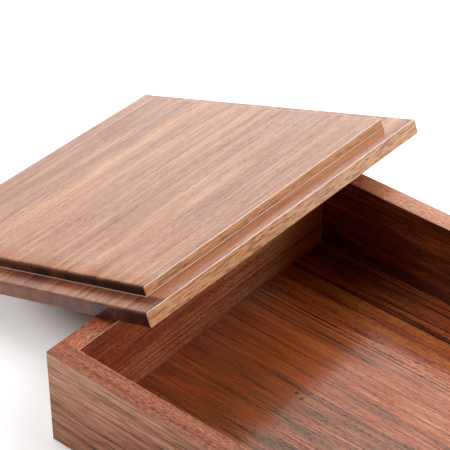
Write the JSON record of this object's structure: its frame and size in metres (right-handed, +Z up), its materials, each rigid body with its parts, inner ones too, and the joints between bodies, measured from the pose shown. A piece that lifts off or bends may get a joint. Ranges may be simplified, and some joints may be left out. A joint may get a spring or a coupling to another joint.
{
  "type": "lidded keepsake box",
  "caption": "Low square keepsake box of solid walnut with dowelled butt corners and a lift-off lid, rebated underneath, that leans upside down on the rim.",
  "frame": {"origin": "centre of the box's underside, on the ground", "axes": "+X along the front wall to the right, +Y from the front wall to the back wall, +Z up"},
  "size_m": [0.4001, 0.2633, 0.0843],
  "materials": {
    "wall_wood": "walnut, satin lacquer",
    "floor_wood": "edge-glued walnut staves, satin lacquer",
    "lid_wood": "edge-glued walnut staves, satin lacquer",
    "dowel_wood": "raw beech"
  },
  "bodies": {
    "box": {"front_wall": "wall_wood", "back_wall": "wall_wood", "left_wall": "wall_wood", "right_wall": "wall_wood", "front_left_dowels": "dowel_wood", "front_right_dowels": "dowel_wood", "back_left_dowels": "dowel_wood", "back_right_dowels": "dowel_wood", "floor_stave_1": "floor_wood", "floor_stave_2": "floor_wood", "floor_stave_3": "floor_wood", "floor_stave_4": "floor_wood", "floor_stave_5": "floor_wood", "floor_stave_6": "floor_wood"},
    "lid": {"lid_stave_1": "lid_wood", "lid_stave_2": "lid_wood", "lid_stave_3": "lid_wood", "lid_stave_4": "lid_wood", "lid_stave_5": "lid_wood", "lid_stave_6": "lid_wood", "lid_stave_7": "lid_wood"}
  },
  "joints": [
    {"name": "lid_lift", "type": "slide", "parent": "box", "child": "lid", "axis": [0, 0, 1], "range_m": [0, 0.15]}
  ]
}
